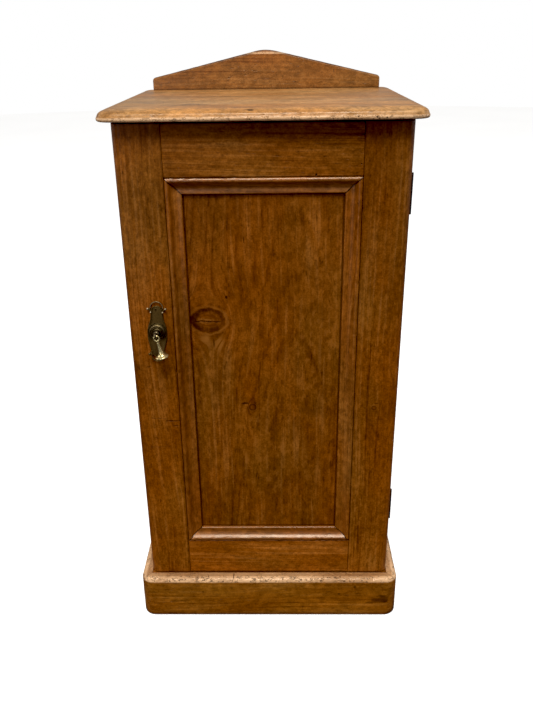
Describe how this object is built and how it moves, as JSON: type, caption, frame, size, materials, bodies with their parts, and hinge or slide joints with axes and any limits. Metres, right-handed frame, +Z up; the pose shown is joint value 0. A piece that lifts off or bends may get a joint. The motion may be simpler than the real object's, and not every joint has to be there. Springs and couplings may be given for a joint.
{
  "type": "pot cupboard",
  "caption": "Pine pot cupboard: a shelved case on a plinth, with a thumb-moulded top, a pitched back gallery and one panelled door with a brass drop latch.",
  "frame": {"origin": "centre of the footprint, on the floor the plinth stands on", "axes": "+Z up, the door faces -Y, and +X is towards the hinges, on the right as seen from the front"},
  "size_m": [0.419, 0.358, 0.8615],
  "materials": {
    "waxed_pine": "old waxed pine, golden brown, satin",
    "bare_pine": "unfinished pine inside the case, dry and matt",
    "blackened_iron": "blackened iron hinge leaves and latch tongue",
    "old_steel": "dull old steel screws and pins",
    "aged_brass": "aged brass, dark in the hollows and bright where it is touched"
  },
  "bodies": {
    "case": {"side_left": "waxed_pine", "side_right": "waxed_pine", "top_board": "waxed_pine", "gallery_board": "waxed_pine", "plinth_front": "waxed_pine", "plinth_left": "waxed_pine", "plinth_right": "waxed_pine", "bottom_board": "bare_pine", "shelf": "bare_pine", "case_front_rail": "bare_pine", "case_back_rail": "bare_pine", "back_board_left": "bare_pine", "back_board_middle": "bare_pine", "back_board_right": "bare_pine", "shelf_bearer_left": "bare_pine", "shelf_bearer_right": "bare_pine", "base_front_rail": "bare_pine", "glue_block_left": "bare_pine", "glue_block_right": "bare_pine", "gallery_dowel_left": "bare_pine", "gallery_dowel_right": "bare_pine", "hinge_upper_case_leaf": "blackened_iron", "hinge_lower_case_leaf": "blackened_iron", "hinge_upper_pin": "old_steel", "hinge_lower_pin": "old_steel", "hinge_upper_case_screw_1": "old_steel", "hinge_upper_case_screw_2": "old_steel", "hinge_upper_case_screw_3": "old_steel", "hinge_lower_case_screw_1": "old_steel", "hinge_lower_case_screw_2": "old_steel", "hinge_lower_case_screw_3": "old_steel", "shelf_bearer_left_screw_1": "old_steel", "shelf_bearer_left_screw_2": "old_steel", "shelf_bearer_right_screw_1": "old_steel", "shelf_bearer_right_screw_2": "old_steel"},
    "door": {"door_latch_stile": "waxed_pine", "door_hinge_stile": "waxed_pine", "door_top_rail": "waxed_pine", "door_bottom_rail": "waxed_pine", "door_panel": "waxed_pine", "moulding_bottom": "waxed_pine", "moulding_right": "waxed_pine", "moulding_top": "waxed_pine", "moulding_left": "waxed_pine", "hinge_upper_door_leaf": "blackened_iron", "hinge_lower_door_leaf": "blackened_iron", "hinge_upper_door_screw_1": "old_steel", "hinge_upper_door_screw_2": "old_steel", "hinge_upper_door_screw_3": "old_steel", "hinge_lower_door_screw_1": "old_steel", "hinge_lower_door_screw_2": "old_steel", "hinge_lower_door_screw_3": "old_steel", "handle_backplate": "aged_brass", "handle_rosette": "aged_brass", "handle_pin_top": "aged_brass", "handle_pin_bottom": "aged_brass"},
    "latch": {"latch_spindle": "aged_brass", "latch_tongue": "blackened_iron", "latch_nut": "aged_brass"},
    "drop": {"pendant_drop": "aged_brass"}
  },
  "joints": [
    {"name": "door_hinge", "type": "hinge", "parent": "case", "child": "door", "pos_m": [0.19395, -0.1327, 0.0775], "axis": [0, 0, 1], "range_deg": [0, 180]},
    {"name": "latch_turn", "type": "hinge", "parent": "door", "child": "latch", "pos_m": [-0.152, -0.153, 0.5045], "axis": [0, 1, 0], "range_deg": [0, 102]},
    {"name": "drop_swing", "type": "hinge", "parent": "latch", "child": "drop", "pos_m": [-0.152, -0.1697, 0.5045], "axis": [-0.9763, 0, -0.2164], "range_deg": [-8, 85]}
  ]
}
